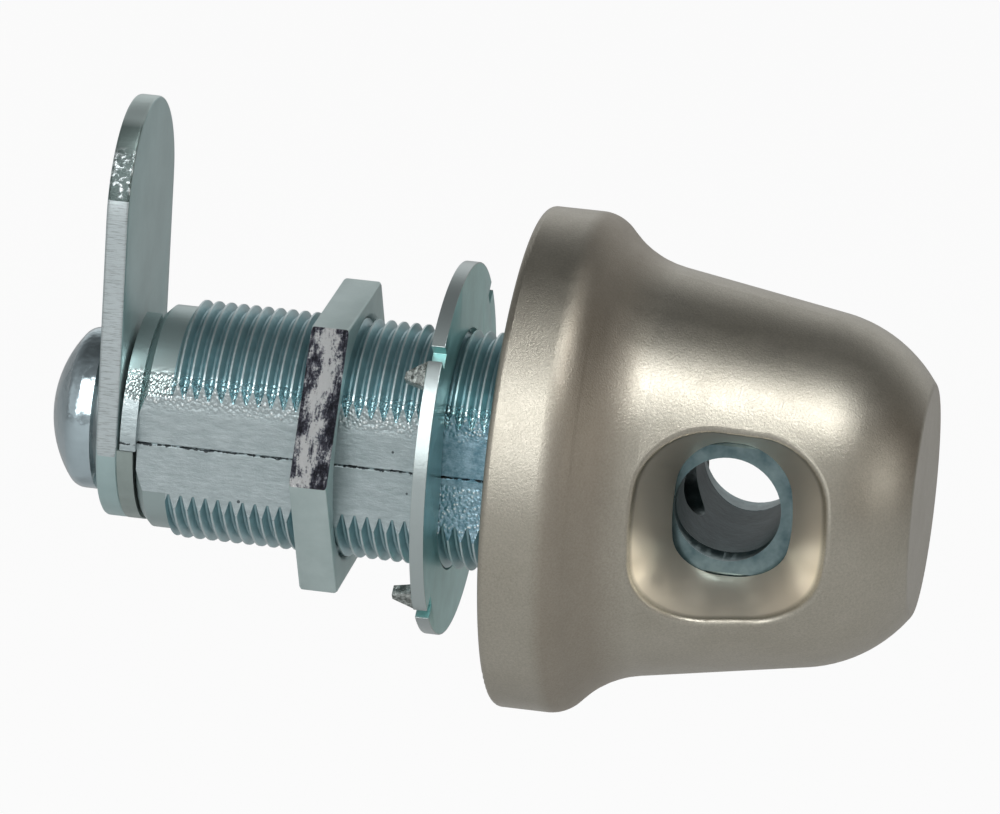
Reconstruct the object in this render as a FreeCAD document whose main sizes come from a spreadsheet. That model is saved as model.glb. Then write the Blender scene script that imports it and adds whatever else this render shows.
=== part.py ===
import FreeCAD, Part
import math
import os
import Sketcher

# A padlockable cam latch. A bell-shaped knob turns a spindle inside a threaded barrel, and the
# spindle carries a flat cam. A shackle through the knob's windows, the barrel and the spindle locks it.
# Millimetres. X runs along the latch's axis and points out of the door, Z is up, and the shackle
# passes along Y. The origin is on the axis, at the seat of the barrel's head on the panel.
# An angle round the axis is counted from +Y towards +Z.

# Driving sizes: the alias, the value and what it measures.
SIZES = [
    ("knob_gap", 0.3, "knob's back plane in front of the seat"),
    ("knob_length", 31.9, "knob, back plane to nose face"),
    ("rim_radius", 19.9, "knob's rim"),
    ("rim_width", 5.55, "back plane to the rim's front corner, before its rounding"),
    ("flare_width", 2.94, "sloping front face of the rim, along the axis"),
    ("waist_radius", 16.66, "where the flare meets the body, before rounding"),
    ("shoulder_from_nose", 3.2, "shoulder corner behind the nose face"),
    ("shoulder_radius", 13.25, "body at the shoulder corner, before rounding"),
    ("nose_radius", 9.1, "flat nose face"),
    ("rim_back_round", 0.6, "rounding of the rim's back edge"),
    ("rim_front_round", 3.0, "rounding of the rim's front edge"),
    ("flare_round", 8.0, "hollow rounding between flare and body"),
    ("shoulder_round", 11.5, "rounding of the shoulder"),
    ("nose_round", 0.8, "rounding of the nose face's edge"),
    ("window_pos", 17.95, "windows' inner section, middle in front of the seat"),
    ("window_lean", 2.25, "outer section's middle in front of the inner one's"),
    ("window_rise", 0.84, "outer section of the windows, outside the waist radius"),
    ("window_reach", 2.0, "inner section of the windows, inside the barrel's radius"),
    ("window_outer_width", 18.9, "outer section along the axis"),
    ("window_outer_height", 19.4, "outer section across the axis"),
    ("window_outer_round", 6.2, "corner rounding of the outer section"),
    ("window_inner_width", 6.9, "inner section along the axis"),
    ("window_inner_height", 10.46, "inner section across the axis"),
    ("window_inner_round", 3.2, "corner rounding of the inner section"),
    ("window_edge", 0.4, "rounding of the windows' outer edges"),
    ("barrel_radius", 9.5, "thread's outer radius, and the journal in the knob"),
    ("across_flats", 16.0, "barrel, flat to flat"),
    ("barrel_length", 29.25, "seat to the barrel's rear end"),
    ("barrel_front", 25.8, "seat to the barrel's front end inside the knob"),
    ("head_radius", 14.8, "barrel's head"),
    ("head_thickness", 2.6, "barrel's head"),
    ("head_edge", 0.4, "chamfer of the head's edges"),
    ("journal_end", 11.0, "end of the round journal, where the flats start again"),
    ("collar_length", 2.45, "plain collar at the barrel's rear end"),
    ("collar_radius", 8.9, "plain collar"),
    ("collar_edge", 0.6, "chamfer of the collar's rear edge"),
    ("ring_pitch", 1.7, "thread, drawn as rings: from one V groove to the next"),
    ("ring_width", 1.3, "V groove of the thread, along the axis"),
    ("ring_depth", 0.55, "V groove of the thread"),
    ("thread_runout", 1.2, "plain length between the seat and the thread, at least"),
    ("seam_width", 0.25, "parting seam along each flat"),
    ("seam_depth", 0.12, "parting seam along each flat"),
    ("shackle_radius", 4.2, "shackle hole in barrel and spindle"),
    ("shackle_pos", 17.8, "shackle hole's axis in front of the seat"),
    ("spindle_radius", 7.0, "spindle's thick part"),
    ("stem_radius", 5.0, "spindle's stem"),
    ("stem_front", 8.0, "shoulder between stem and thick part"),
    ("core_radius", 3.1, "core hole of the spindle"),
    ("core_depth", 18.0, "seat back to the core hole's end"),
    ("bearing_clearance", 0.08, "running clearance of round fits, on the radius"),
    ("drive_half", 4.0, "half the drive square on the spindle's end"),
    ("drive_corner", 2.9, "where the drive square's corners are cut"),
    ("drive_clearance", 0.06, "cam and stop washer round the drive square"),
    ("tenon_half", 3.6, "half the square tenon that carries the knob"),
    ("tenon_length", 3.8, "square tenon"),
    ("tenon_clearance", 0.02, "knob's socket round the tenon"),
    ("end_clearance", 0.3, "free space at the ends of inner pieces"),
    ("cross_pin_radius", 1.25, "cross pin that holds the knob on the tenon"),
    ("cross_pin_pos", 27.9, "cross pin's axis in front of the seat"),
    ("cross_pin_top", 5.6, "blind end of the cross pin's hole above the axis"),
    ("cross_pin_foot", 11.6, "cross pin's lower end below the axis"),
    ("cross_pin_edge", 0.25, "chamfer of the cross pin's ends"),
    ("cross_pin_clearance", 0.01, "hole round the cross pin"),
    ("groove_width", 1.8, "seal grooves"),
    ("groove_depth", 1.3, "seal grooves"),
    ("knob_groove_pos", 6.2, "middle of the barrel's seal groove"),
    ("spindle_groove_pos", 10.6, "middle of the spindle's seal groove"),
    ("seal_clearance", 0.04, "free space round the seals"),
    ("spring_space", 0.8, "space for the spring washer between head and knob"),
    ("spring_thickness", 0.3, "spring washer's sheet"),
    ("spring_play", 0.08, "free space on each side of the spring washer"),
    ("spring_margin", 0.5, "spring washer's edges inside the knob's recess and round the journal"),
    ("head_clearance", 0.4, "knob's recess round the barrel's head"),
    ("nut_wall", 1.5, "hex nut, from the thread to the middle of a flat side"),
    ("nut_thickness", 3.0, "hex nut"),
    ("nut_pos", 13.05, "seat back to the nut's front face, as in the photograph"),
    ("nut_turn", 27.3, "degrees that the nut's faces are turned"),
    ("nut_edge", 0.35, "chamfer of the nut's bore"),
    ("nut_corner", 0.12, "half of what the turned edge takes off the nut's corners"),
    ("thread_clearance", 0.03, "nut round the thread"),
    ("spur_radius", 14.85, "toothed washer"),
    ("spur_thickness", 1.1, "toothed washer"),
    ("spur_pos", 4.85, "seat back to the washer's front face, as in the photograph"),
    ("spur_clearance", 0.15, "toothed washer round the barrel"),
    ("tooth_width", 2.2, "washer's bent tooth at its root"),
    ("tooth_height", 1.6, "washer's tooth"),
    ("tooth_tip", 0.6, "blunt tip of the tooth"),
    ("tooth_root", 0.4, "tooth's root inside the washer"),
    ("tooth_sheet", 0.9, "tooth, along the radius"),
    ("tooth_setback", 0.12, "tooth's outer face inside the washer's edge"),
    ("tooth_angle", 39.0, "tooth's middle from the shackle's direction"),
    ("notch_width", 1.3, "relief notch beside each tooth"),
    ("notch_depth", 1.5, "relief notch, along the radius"),
    ("cam_gap", 1.55, "barrel's rear end to the cam's front face"),
    ("cam_thickness", 1.8, "cam"),
    ("cam_width", 16.2, "cam"),
    ("cam_tip", 25.85, "axis to the cam's tip"),
    ("cam_heel", 8.4, "axis to the cam's lower end"),
    ("cam_edge", 0.15, "chamfer of the cam's edges"),
    ("stop_thickness", 1.3, "stop washer"),
    ("stop_inner", 6.5, "stop washer beside its wide half"),
    ("stop_outer", 8.4, "stop washer's wide half"),
    ("stop_start_angle", 185.0, "angle where the stop washer's wide half starts"),
    ("stop_span_angle", 180.0, "degrees of the wide half"),
    ("travel_angle", 90.0, "degrees that the knob turns"),
    ("stop_margin_angle", 1.2, "degrees left between stop and lug at each end"),
    ("lug_inner", 6.8, "barrel's stop lug, inner radius"),
    ("lug_outer", 8.7, "barrel's stop lug, outer radius"),
    ("lug_length", 1.25, "barrel's stop lug"),
    ("screw_radius", 3.0, "cam screw's thread"),
    ("screw_length", 13.0, "cam screw under its head"),
    ("screw_clearance", 0.04, "tapped hole and washers round the screw"),
    ("screw_tip", 0.6, "chamfer of the cam screw's tip"),
    ("dome_rim", 6.45, "cam screw's head, on the radius"),
    ("dome_height", 4.2, "cam screw's head"),
    ("dome_round", 9.5, "curve of the head's top"),
    ("dome_shoulder", 1.3, "rounding between the head's top and its side"),
    ("socket_width", 4.0, "hexagon socket in the dome"),
    ("socket_depth", 2.4, "hexagon socket in the dome"),
    ("lock_thickness", 0.9, "lock washer"),
    ("lock_radius", 5.3, "lock washer"),
    ("lock_clearance", 0.12, "lock washer round the screw"),
    ("lock_gap", 0.8, "split of the lock washer"),
    ("spindle_recess", 0.25, "spindle's end inside the cam's rear face"),
]

os.makedirs("parts", exist_ok=True)
doc = FreeCAD.newDocument("Latch")
sheet = doc.addObject("Spreadsheet::Sheet", "Sizes")
for row, (alias, value, meaning) in enumerate(SIZES, start=1):
    sheet.set("A%d" % row, meaning)
    sheet.set("B%d" % row, str(value))
    sheet.setAlias("B%d" % row, alias)
doc.recompute()

ORIGIN = -1
FULL_TURN = 360.0
made = []


def size(formula):
    """Works out a formula of sheet names, such as 'rim_radius - 2', for use in this file."""
    return float(sheet.evalExpression(formula))


def bound(formula):
    """The same formula as an expression that another object can be bound to."""
    words = {alias for alias, _, _ in SIZES}
    out = []
    word = ""
    for letter in formula + " ":
        if letter.isalnum() or letter == "_":
            word += letter
            continue
        out.append("Sizes." + word if word in words else word)
        out.append(letter)
        word = ""
    return "".join(out).strip()


def bind(thing, prop, formula):
    thing.setExpression(prop, bound(formula))


def new_body(name):
    body = doc.addObject("PartDesign::Body", name)
    body.Label = name
    made.append(body)
    return body


def plane_of(body, role):
    return next(item for item in body.Origin.OriginFeatures if item.Role == role)


def new_sketch(body, name, role, offset=None):
    """A sketch on one of the body's own origin planes, moved along the plane's normal."""
    sketch = body.newObject("Sketcher::SketchObject", name)
    sketch.AttachmentSupport = [(plane_of(body, role), "")]
    sketch.MapMode = "FlatFace"
    if offset is not None:
        bind(sketch, "AttachmentOffset.Base.z", offset)
    return sketch


def place_point(sketch, geometry, corner, across, up):
    """Ties a point of the sketch to the origin by two named sizes."""
    for kind, formula in (("DistanceX", across), ("DistanceY", up)):
        value = size(formula)
        if abs(value) < 1e-9:
            axis = -2 if kind == "DistanceX" else -1
            sketch.addConstraint(Sketcher.Constraint("PointOnObject", geometry, corner, axis))
        elif value > 0:
            index = sketch.addConstraint(Sketcher.Constraint(kind, ORIGIN, 1, geometry, corner, value))
            bind(sketch, "Constraints[%d]" % index, formula)
        else:
            index = sketch.addConstraint(Sketcher.Constraint(kind, geometry, corner, ORIGIN, 1, -value))
            bind(sketch, "Constraints[%d]" % index, "-(%s)" % formula)


def add_polygon(sketch, corners):
    """A closed outline whose corners are pairs of formulas."""
    points = [FreeCAD.Vector(size(across), size(up), 0) for across, up in corners]
    first = sketch.GeometryCount
    count = len(points)
    for index, point in enumerate(points):
        sketch.addGeometry(Part.LineSegment(point, points[(index + 1) % count]), False)
    for index in range(count):
        following = first + (index + 1) % count
        sketch.addConstraint(Sketcher.Constraint("Coincident", first + index, 2, following, 1))
    for index, (across, up) in enumerate(corners):
        place_point(sketch, first + index, 1, across, up)


def add_circle(sketch, radius, across="0", up="0"):
    centre = FreeCAD.Vector(size(across), size(up), 0)
    index = sketch.addGeometry(Part.Circle(centre, FreeCAD.Vector(0, 0, 1), size(radius)), False)
    place_point(sketch, index, 3, across, up)
    rule = sketch.addConstraint(Sketcher.Constraint("Radius", index, size(radius)))
    bind(sketch, "Constraints[%d]" % rule, radius)


def add_round_rectangle(sketch, half_width, half_height, corner, across):
    """A rectangle with round corners, centred on the sketch's X axis."""
    wide, high, bend, middle = size(half_width), size(half_height), size(corner), size(across)
    centres = [(1, 1), (-1, 1), (-1, -1), (1, -1)]
    arcs = []
    for quarter, (side, level) in enumerate(centres):
        centre = FreeCAD.Vector(middle + side * (wide - bend), level * (high - bend), 0)
        circle = Part.Circle(centre, FreeCAD.Vector(0, 0, 1), bend)
        start = quarter * math.pi / 2
        arcs.append(sketch.addGeometry(Part.ArcOfCircle(circle, start, start + math.pi / 2), False))
    sides = []
    for quarter in range(4):
        start = sketch.getPoint(arcs[quarter], 2)
        end = sketch.getPoint(arcs[(quarter + 1) % 4], 1)
        sides.append(sketch.addGeometry(Part.LineSegment(start, end), False))
    for quarter in range(4):
        sketch.addConstraint(Sketcher.Constraint("Tangent", arcs[quarter], 2, sides[quarter], 1))
        sketch.addConstraint(Sketcher.Constraint("Tangent", sides[quarter], 2, arcs[(quarter + 1) % 4], 1))
        if quarter:
            sketch.addConstraint(Sketcher.Constraint("Equal", arcs[0], arcs[quarter]))
    for quarter, (side, level) in enumerate(centres[:3]):
        if quarter == 1:
            continue
        place_point(sketch, arcs[quarter], 3, "%s + %d * (%s - (%s))" % (across, side, half_width, corner),
                    "%d * (%s - (%s))" % (level, half_height, corner))
    rule = sketch.addConstraint(Sketcher.Constraint("Radius", arcs[0], bend))
    bind(sketch, "Constraints[%d]" % rule, corner)
    sketch.addConstraint(Sketcher.Constraint("Horizontal", sides[0]))


def check_change(feature, before, grows):
    """Stops when a feature changed nothing, or changed the wrong way."""
    doc.recompute()
    change = feature.Shape.Volume - before
    if (change > 1e-4) != grows or abs(change) < 1e-4:
        raise RuntimeError("%s changed the volume by %.4f" % (feature.Name, change))


def revolve(body, name, corners):
    sketch = new_sketch(body, name + "_outline", "XZ_Plane")
    add_polygon(sketch, corners)
    feature = body.newObject("PartDesign::Revolution", name)
    feature.Profile = sketch
    feature.ReferenceAxis = (sketch, ["H_Axis"])
    feature.Angle = FULL_TURN
    doc.recompute()
    return feature


def groove(body, name, corners):
    before = body.Shape.Volume
    sketch = new_sketch(body, name + "_outline", "XZ_Plane")
    add_polygon(sketch, corners)
    feature = body.newObject("PartDesign::Groove", name)
    feature.Profile = sketch
    feature.ReferenceAxis = (sketch, ["H_Axis"])
    feature.Angle = FULL_TURN
    check_change(feature, before, False)
    return feature


def pad(body, name, sketch, length, backwards=False):
    before = body.Shape.Volume if body.Shape.Solids else 0.0
    feature = body.newObject("PartDesign::Pad", name)
    feature.Profile = sketch
    bind(feature, "Length", length)
    feature.Reversed = backwards
    check_change(feature, before, True)
    return feature


def pocket(body, name, sketch, length, both_ways=False, backwards=False):
    before = body.Shape.Volume
    feature = body.newObject("PartDesign::Pocket", name)
    feature.Profile = sketch
    feature.Midplane = both_ways
    feature.Reversed = backwards
    bind(feature, "Length", length)
    check_change(feature, before, False)
    return feature


def round_edges(body, name, base, edges, radius, chamfer=False):
    kind = "PartDesign::Chamfer" if chamfer else "PartDesign::Fillet"
    feature = body.newObject(kind, name)
    feature.Base = (base, edges)
    bind(feature, "Size" if chamfer else "Radius", radius)
    doc.recompute()
    return feature


def ring_edges(shape, along, radius):
    """Names of the circular edges round the X axis at a place and a radius."""
    found = []
    for number, edge in enumerate(shape.Edges, start=1):
        if edge.Degenerated:
            continue
        curve = edge.Curve
        if curve.TypeId != "Part::GeomCircle" or abs(abs(curve.Axis.x) - 1) > 1e-6:
            continue
        if abs(curve.Center.x - along) < 1e-4 and abs(curve.Radius - radius) < 1e-4:
            found.append("Edge%d" % number)
    return found


def drive_square(clearance):
    """Corners of the drive square with its corners cut, grown by a clearance."""
    half = "(drive_half + %s)" % clearance
    cut = "(drive_corner + %s)" % clearance
    return [(half, cut), (cut, half), ("-" + cut, half), ("-" + half, cut),
            ("-" + half, "-" + cut), ("-" + cut, "-" + half), (cut, "-" + half), (half, "-" + cut)]


def square(half):
    return [(half, half), ("-" + half, half), ("-" + half, "-" + half), (half, "-" + half)]


# Bell knob: a turned bell with a recess for the barrel's head, a bore for its journal and a square socket
def make_bell_knob():
    body = new_body("bell_knob")
    back, nose = "knob_gap", "(knob_gap + knob_length)"
    rim_corner = "(knob_gap + rim_width)"
    outline = [
        (back, "(head_radius + head_clearance)"),
        (back, "rim_radius"),
        (rim_corner, "rim_radius"),
        (rim_corner + " + flare_width", "waist_radius"),
        (nose + " - shoulder_from_nose", "shoulder_radius"),
        (nose, "nose_radius"),
        (nose, "0"),
        ("barrel_front + end_clearance", "0"),
        ("barrel_front + end_clearance", "barrel_radius + bearing_clearance"),
        ("head_thickness + spring_space", "barrel_radius + bearing_clearance"),
        ("head_thickness + spring_space", "(head_radius + head_clearance)"),
    ]
    turned = revolve(body, "bell_turned", outline)
    rounds = [
        ("shoulder", nose + " - shoulder_from_nose", "shoulder_radius", "shoulder_round"),
        ("flare", rim_corner + " + flare_width", "waist_radius", "flare_round"),
        ("rim_front", rim_corner, "rim_radius", "rim_front_round"),
        ("rim_back", back, "rim_radius", "rim_back_round"),
        ("nose", nose, "nose_radius", "nose_round"),
    ]
    last = turned
    for name, along, radius, bend in rounds:
        edges = ring_edges(last.Shape, size(along), size(radius))
        last = round_edges(body, "bell_%s_round" % name, last, edges, bend)

    # The windows taper from a wide mouth to the throat at the barrel's journal
    sections = []
    for name, level, middle in (
            ("outer", "(waist_radius + window_rise)", "(window_pos + window_lean)"),
            ("inner", "(barrel_radius - window_reach)", "window_pos")):
        sketch = new_sketch(body, "window_" + name, "XZ_Plane", level)
        add_round_rectangle(sketch, "(window_%s_width / 2)" % name, "(window_%s_height / 2)" % name,
                            "window_%s_round" % name, middle)
        sections.append(sketch)
    before = body.Shape.Volume
    window = body.newObject("PartDesign::SubtractiveLoft", "window")
    window.Profile = sections[0]
    window.Sections = [sections[1]]
    window.Ruled = True
    check_change(window, before, False)
    before = body.Shape.Volume
    both = body.newObject("PartDesign::Mirrored", "window_pair")
    both.Originals = [window]
    both.MirrorPlane = (plane_of(body, "XZ_Plane"), [""])
    body.Tip = both
    check_change(both, before, False)
    edges = []
    middle, reach = size("window_pos + window_lean"), size("window_outer_width / 2")
    inside, least = size("barrel_radius"), size("nose_radius + shoulder_from_nose")
    for number, edge in enumerate(both.Shape.Edges, start=1):
        ends = [vertex.Point for vertex in edge.Vertexes]
        near = all(abs(point.x - middle) < reach for point in ends)
        beside = all(abs(point.y) > inside for point in ends)
        outside = all(math.hypot(point.y, point.z) > least for point in ends)
        if ends and near and beside and outside:
            edges.append("Edge%d" % number)
    round_edges(body, "window_edge_round", both, edges, "window_edge")

    socket = new_sketch(body, "socket_outline", "YZ_Plane", "barrel_front + end_clearance")
    add_polygon(socket, square("(tenon_half + tenon_clearance)"))
    pocket(body, "socket", socket, "tenon_length + end_clearance", backwards=True)
    hole = new_sketch(body, "pin_hole_outline", "XY_Plane", "cross_pin_top")
    add_circle(hole, "cross_pin_radius + cross_pin_clearance", "cross_pin_pos")
    pocket(body, "pin_hole", hole, "cross_pin_top + rim_radius")
    return body


# Threaded barrel: head, rear thread with two flats, and the journal that the knob turns on
def make_threaded_barrel():
    body = new_body("threaded_barrel")
    outline = [
        ("-barrel_length", "stem_radius + bearing_clearance"),
        ("-barrel_length", "collar_radius"),
        ("-barrel_length + collar_length", "collar_radius"),
        ("-barrel_length + collar_length", "barrel_radius"),
        ("0", "barrel_radius"),
        ("0", "head_radius"),
        ("head_thickness", "head_radius"),
        ("head_thickness", "barrel_radius"),
        ("knob_groove_pos - groove_width / 2", "barrel_radius"),
        ("knob_groove_pos - groove_width / 2", "barrel_radius - groove_depth"),
        ("knob_groove_pos + groove_width / 2", "barrel_radius - groove_depth"),
        ("knob_groove_pos + groove_width / 2", "barrel_radius"),
        ("barrel_front", "barrel_radius"),
        ("barrel_front", "spindle_radius + bearing_clearance"),
        ("stem_front", "spindle_radius + bearing_clearance"),
        ("stem_front", "stem_radius + bearing_clearance"),
    ]
    turned = revolve(body, "barrel_turned", outline)
    collar = ring_edges(turned.Shape, -size("barrel_length"), size("collar_radius"))
    last = round_edges(body, "collar_chamfer", turned, collar, "collar_edge", chamfer=True)
    head = ring_edges(last.Shape, 0, size("head_radius"))
    head += ring_edges(last.Shape, size("head_thickness"), size("head_radius"))
    round_edges(body, "head_chamfer", last, head, "head_edge", chamfer=True)

    # The thread is drawn as rings, coarser than its real pitch, from the collar to the seat
    first = "(collar_length + ring_pitch / 2 - barrel_length)"
    ring = groove(body, "thread_groove", [
        (first + " - ring_width / 2", "barrel_radius"),
        (first, "barrel_radius - ring_depth"),
        (first + " + ring_width / 2", "barrel_radius")])
    count = "floor((barrel_length - collar_length - thread_runout) / ring_pitch)"
    before = body.Shape.Volume
    rings = body.newObject("PartDesign::LinearPattern", "thread_rings")
    rings.Originals = [ring]
    rings.Direction = (plane_of(body, "X_Axis"), [""])
    bind(rings, "Occurrences", count)
    bind(rings, "Length", "(%s - 1) * ring_pitch" % count)
    body.Tip = rings
    check_change(rings, before, False)

    for name, start, end in (("rear", "-barrel_length", "0"), ("front", "journal_end", "barrel_front")):
        for side, sign in (("near", "-"), ("far", "")):
            strip = new_sketch(body, "%s_%s_flat" % (name, side), "XY_Plane")
            add_polygon(strip, [
                (start, sign + "across_flats / 2"), (end, sign + "across_flats / 2"),
                (end, sign + "barrel_radius * 1.1"), (start, sign + "barrel_radius * 1.1")])
            pocket(body, "%s_%s_cut" % (name, side), strip, "barrel_radius * 2.2", both_ways=True)
    for side, sign in (("near", "-"), ("far", "")):
        seam = new_sketch(body, side + "_seam", "YZ_Plane", "-barrel_length")
        deep = sign + "(across_flats / 2 - seam_depth)"
        add_polygon(seam, [
            (deep, "0"), (sign + "across_flats / 2", "seam_width / 2"),
            (sign + "across_flats / 2", "-seam_width / 2")])
        pocket(body, side + "_seam_cut", seam, "barrel_length", backwards=True)

    hole = new_sketch(body, "shackle_hole_outline", "XZ_Plane")
    add_circle(hole, "shackle_radius", "shackle_pos")
    pocket(body, "shackle_hole", hole, "barrel_radius * 2.2", both_ways=True)
    return body


def make_spindle():
    body = new_body("spindle")
    rear = "(-barrel_length - cam_gap - cam_thickness + spindle_recess)"
    drive_end = "(-barrel_length - cam_gap + stop_thickness)"
    outline = [
        (rear, "screw_radius + screw_clearance"),
        (rear, "stem_radius"),
        ("stem_front + end_clearance", "stem_radius"),
        ("stem_front + end_clearance", "spindle_radius"),
        ("spindle_groove_pos - groove_width / 2", "spindle_radius"),
        ("spindle_groove_pos - groove_width / 2", "spindle_radius - groove_depth"),
        ("spindle_groove_pos + groove_width / 2", "spindle_radius - groove_depth"),
        ("spindle_groove_pos + groove_width / 2", "spindle_radius"),
        ("barrel_front", "spindle_radius"),
        ("barrel_front", "0"),
        ("shackle_pos", "0"),
        ("shackle_pos", "core_radius"),
        ("-core_depth", "core_radius"),
        ("-core_depth", "screw_radius + screw_clearance"),
    ]
    revolve(body, "spindle_turned", outline)
    drive = new_sketch(body, "drive_outline", "YZ_Plane", drive_end)
    add_circle(drive, "stem_radius * 1.2")
    add_polygon(drive, drive_square("0"))
    pocket(body, "drive", drive, "stop_thickness + cam_thickness")
    tenon = new_sketch(body, "tenon_outline", "YZ_Plane", "barrel_front")
    add_polygon(tenon, square("tenon_half"))
    pad(body, "tenon", tenon, "end_clearance + tenon_length")
    hole = new_sketch(body, "shackle_hole_outline", "XZ_Plane")
    add_circle(hole, "shackle_radius", "shackle_pos")
    pocket(body, "shackle_hole", hole, "spindle_radius * 2.2", both_ways=True)
    pin = new_sketch(body, "pin_hole_outline", "XY_Plane")
    add_circle(pin, "cross_pin_radius + cross_pin_clearance", "cross_pin_pos")
    pocket(body, "pin_hole", pin, "tenon_half * 2.2", both_ways=True)


# Cross pin that holds the knob on the spindle's tenon, driven in from below
def make_cross_pin():
    body = new_body("cross_pin")
    length = "(cross_pin_foot + cross_pin_top - end_clearance)"
    revolve(body, "pin_turned", [
        ("0", "0"),
        ("0", "cross_pin_radius - cross_pin_edge"),
        ("cross_pin_edge", "cross_pin_radius"),
        (length + " - cross_pin_edge", "cross_pin_radius"),
        (length, "cross_pin_radius - cross_pin_edge"),
        (length, "0")])
    body.Placement = FreeCAD.Placement(
        FreeCAD.Vector(), FreeCAD.Rotation(FreeCAD.Vector(0, 1, 0), -90))
    bind(body, "Placement.Base.x", "cross_pin_pos")
    bind(body, "Placement.Base.z", "-cross_pin_foot")


# Rubber rings in the grooves of the barrel and the spindle
def make_seal(name, outside, along):
    ring = doc.addObject("Part::Torus", name)
    ring.Label = name
    section = "((groove_depth + bearing_clearance) / 2 - seal_clearance)"
    bind(ring, "Radius2", section)
    bind(ring, "Radius1", "%s + bearing_clearance - seal_clearance - %s" % (outside, section))
    ring.Placement = FreeCAD.Placement(
        FreeCAD.Vector(), FreeCAD.Rotation(FreeCAD.Vector(0, 1, 0), 90))
    bind(ring, "Placement.Base.x", along)
    made.append(ring)


def new_cylinder(name, radius, length, base, turn):
    """A cylinder from a base point of three formulas. The turn lays its axis along X or Y."""
    drum = doc.addObject("Part::Cylinder", name)
    bind(drum, "Radius", radius)
    bind(drum, "Height", length)
    drum.Placement = FreeCAD.Placement(FreeCAD.Vector(), turn)
    for axis, formula in zip("xyz", base):
        bind(drum, "Placement.Base." + axis, formula)
    return drum


def combine(kind, name, base, tool):
    result = doc.addObject(kind, name)
    result.Base = base
    result.Tool = tool
    return result


# Spring washer: a flat ring bent to one shallow curve, which takes up the play between head and knob
def make_spring_washer():
    along_x = FreeCAD.Rotation(FreeCAD.Vector(0, 1, 0), 90)
    along_y = FreeCAD.Rotation(FreeCAD.Vector(1, 0, 0), -90)
    outer = "(head_radius + head_clearance - spring_margin)"
    rise = "(spring_space - spring_thickness - 2 * spring_play)"
    curve = "((%s * %s + %s * %s) / (2 * %s))" % (outer, outer, rise, rise, rise)
    crown = "(head_thickness + spring_space - spring_play)"
    ring = combine(
        "Part::Cut", "spring_ring",
        new_cylinder("ring_outside", outer, "spring_space", ("head_thickness", "0", "0"), along_x),
        new_cylinder("ring_inside", "barrel_radius + spring_margin", "spring_space * 2",
                     ("head_thickness - spring_space / 2", "0", "0"), along_x))
    width = outer + " * 2.2"
    middle = (crown + " - " + curve, "-%s * 1.1" % outer, "0")
    bent = combine(
        "Part::Cut", "bent_sheet",
        new_cylinder("sheet_outside", curve, width, middle, along_y),
        new_cylinder("sheet_inside", curve + " - spring_thickness", width, middle, along_y))
    washer = combine("Part::Common", "spring_washer", ring, bent)
    washer.Label = "spring_washer"
    made.append(washer)


def make_hex_nut():
    body = new_body("hex_nut")
    reach = "((barrel_radius + nut_wall) / cos(30 deg))"
    hexagon = new_sketch(body, "nut_outline", "YZ_Plane", "-nut_thickness")
    corners = []
    for corner in range(6):
        turn = "((210 - nut_turn + %d) * 1 deg)" % (60 * corner)
        corners.append(("%s * cos%s" % (reach, turn), "%s * sin%s" % (reach, turn)))
    add_polygon(hexagon, corners)
    pad(body, "nut_blank", hexagon, "nut_thickness")
    bore = new_sketch(body, "nut_bore_outline", "YZ_Plane")
    add_circle(bore, "barrel_radius + thread_clearance")
    drilled = pocket(body, "nut_bore", bore, "nut_thickness")
    radius = size("barrel_radius + thread_clearance")
    edges = ring_edges(drilled.Shape, 0, radius) + ring_edges(drilled.Shape, -size("nut_thickness"), radius)
    round_edges(body, "nut_bore_chamfer", drilled, edges, "nut_edge", chamfer=True)
    for name, face, way in (("front", "0", "-"), ("rear", "-nut_thickness", "+")):
        groove(body, "nut_%s_corners" % name, [
            (face, reach + " - 2 * nut_corner"), (face, reach + " + nut_corner"),
            ("%s %s 3 * nut_corner * tan(30 deg)" % (face, way), reach + " + nut_corner")])
    bind(body, "Placement.Base.x", "-nut_pos")


# Washer with a flatted hole. Four teeth are bent out of its edge towards the nut
def make_spur_washer():
    body = new_body("spur_washer")
    disc = new_sketch(body, "washer_outline", "YZ_Plane", "-spur_thickness")
    add_circle(disc, "spur_radius")
    pad(body, "washer_blank", disc, "spur_thickness")
    hole = new_sketch(body, "washer_hole_outline", "YZ_Plane")
    across = "(across_flats / 2 + spur_clearance)"
    radius = "(barrel_radius + spur_clearance)"
    half = "sqrt(%s * %s - %s * %s)" % (radius, radius, across, across)
    add_flatted_hole(hole, across, half)
    pocket(body, "washer_hole", hole, "spur_thickness")
    rear = "(-spur_thickness)"
    teeth = (("near_upper", "tooth_angle", ""), ("near_lower", "(-tooth_angle)", "-"),
             ("far_upper", "(180 - tooth_angle)", "-"), ("far_lower", "(tooth_angle - 180)", ""))
    for name, turn, sign in teeth:
        other = "-" if sign == "" else ""
        level = "(spur_radius - tooth_setback - tooth_sheet)"
        sketch = turned_sketch(body, name + "_tooth_outline", turn, level)
        add_polygon(sketch, [
            (rear + " + tooth_root", sign + "tooth_width / 2"),
            (rear, sign + "tooth_width / 2"),
            (rear + " - tooth_height", sign + "0.01"),
            (rear + " - tooth_height", other + "tooth_tip"),
            (rear, other + "tooth_width / 2"),
            (rear + " + tooth_root", other + "tooth_width / 2")])
        pad(body, name + "_tooth", sketch, "tooth_sheet")
        sketch = turned_sketch(body, name + "_notch_outline", turn, "(spur_radius - notch_depth)")
        add_polygon(sketch, [
            ("end_clearance", sign + "tooth_width / 2"),
            (rear + " - end_clearance", sign + "tooth_width / 2"),
            (rear + " - end_clearance", sign + "(tooth_width / 2 + notch_width)"),
            ("end_clearance", sign + "(tooth_width / 2 + notch_width)")])
        pocket(body, name + "_notch", sketch, "notch_depth * 2", backwards=True)
    bind(body, "Placement.Base.x", "-spur_pos")


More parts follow.
